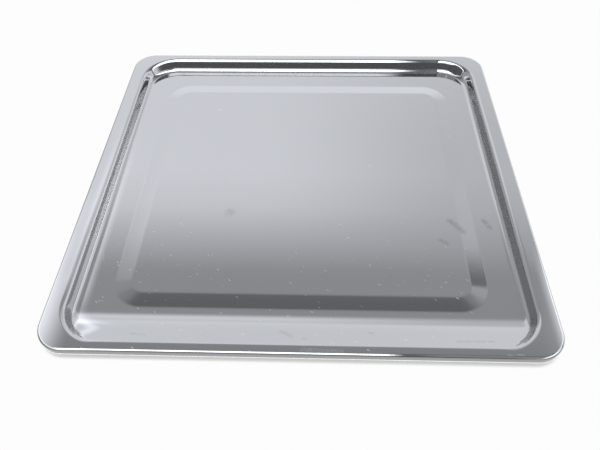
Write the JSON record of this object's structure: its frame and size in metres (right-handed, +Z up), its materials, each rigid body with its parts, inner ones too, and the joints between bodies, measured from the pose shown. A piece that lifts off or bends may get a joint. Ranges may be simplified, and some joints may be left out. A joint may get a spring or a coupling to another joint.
{
  "type": "oven baking tray",
  "caption": "Flat oven baking tray pressed from one enamelled steel sheet, with a flat rim, a turned-down lip, sloping walls, a long slope at the front and a raised floor panel.",
  "frame": {"origin": "middle of the tray's outline, on the surface that the tray rests on", "axes": "+X across the oven, -Y towards the door and the sloping front edge, +Z up"},
  "size_m": [0.4, 0.388, 0.0126],
  "materials": {
    "black_enamel": "glossy black vitreous enamel"
  },
  "bodies": {
    "root": {"baking_tray": "black_enamel"}
  },
  "joints": []
}
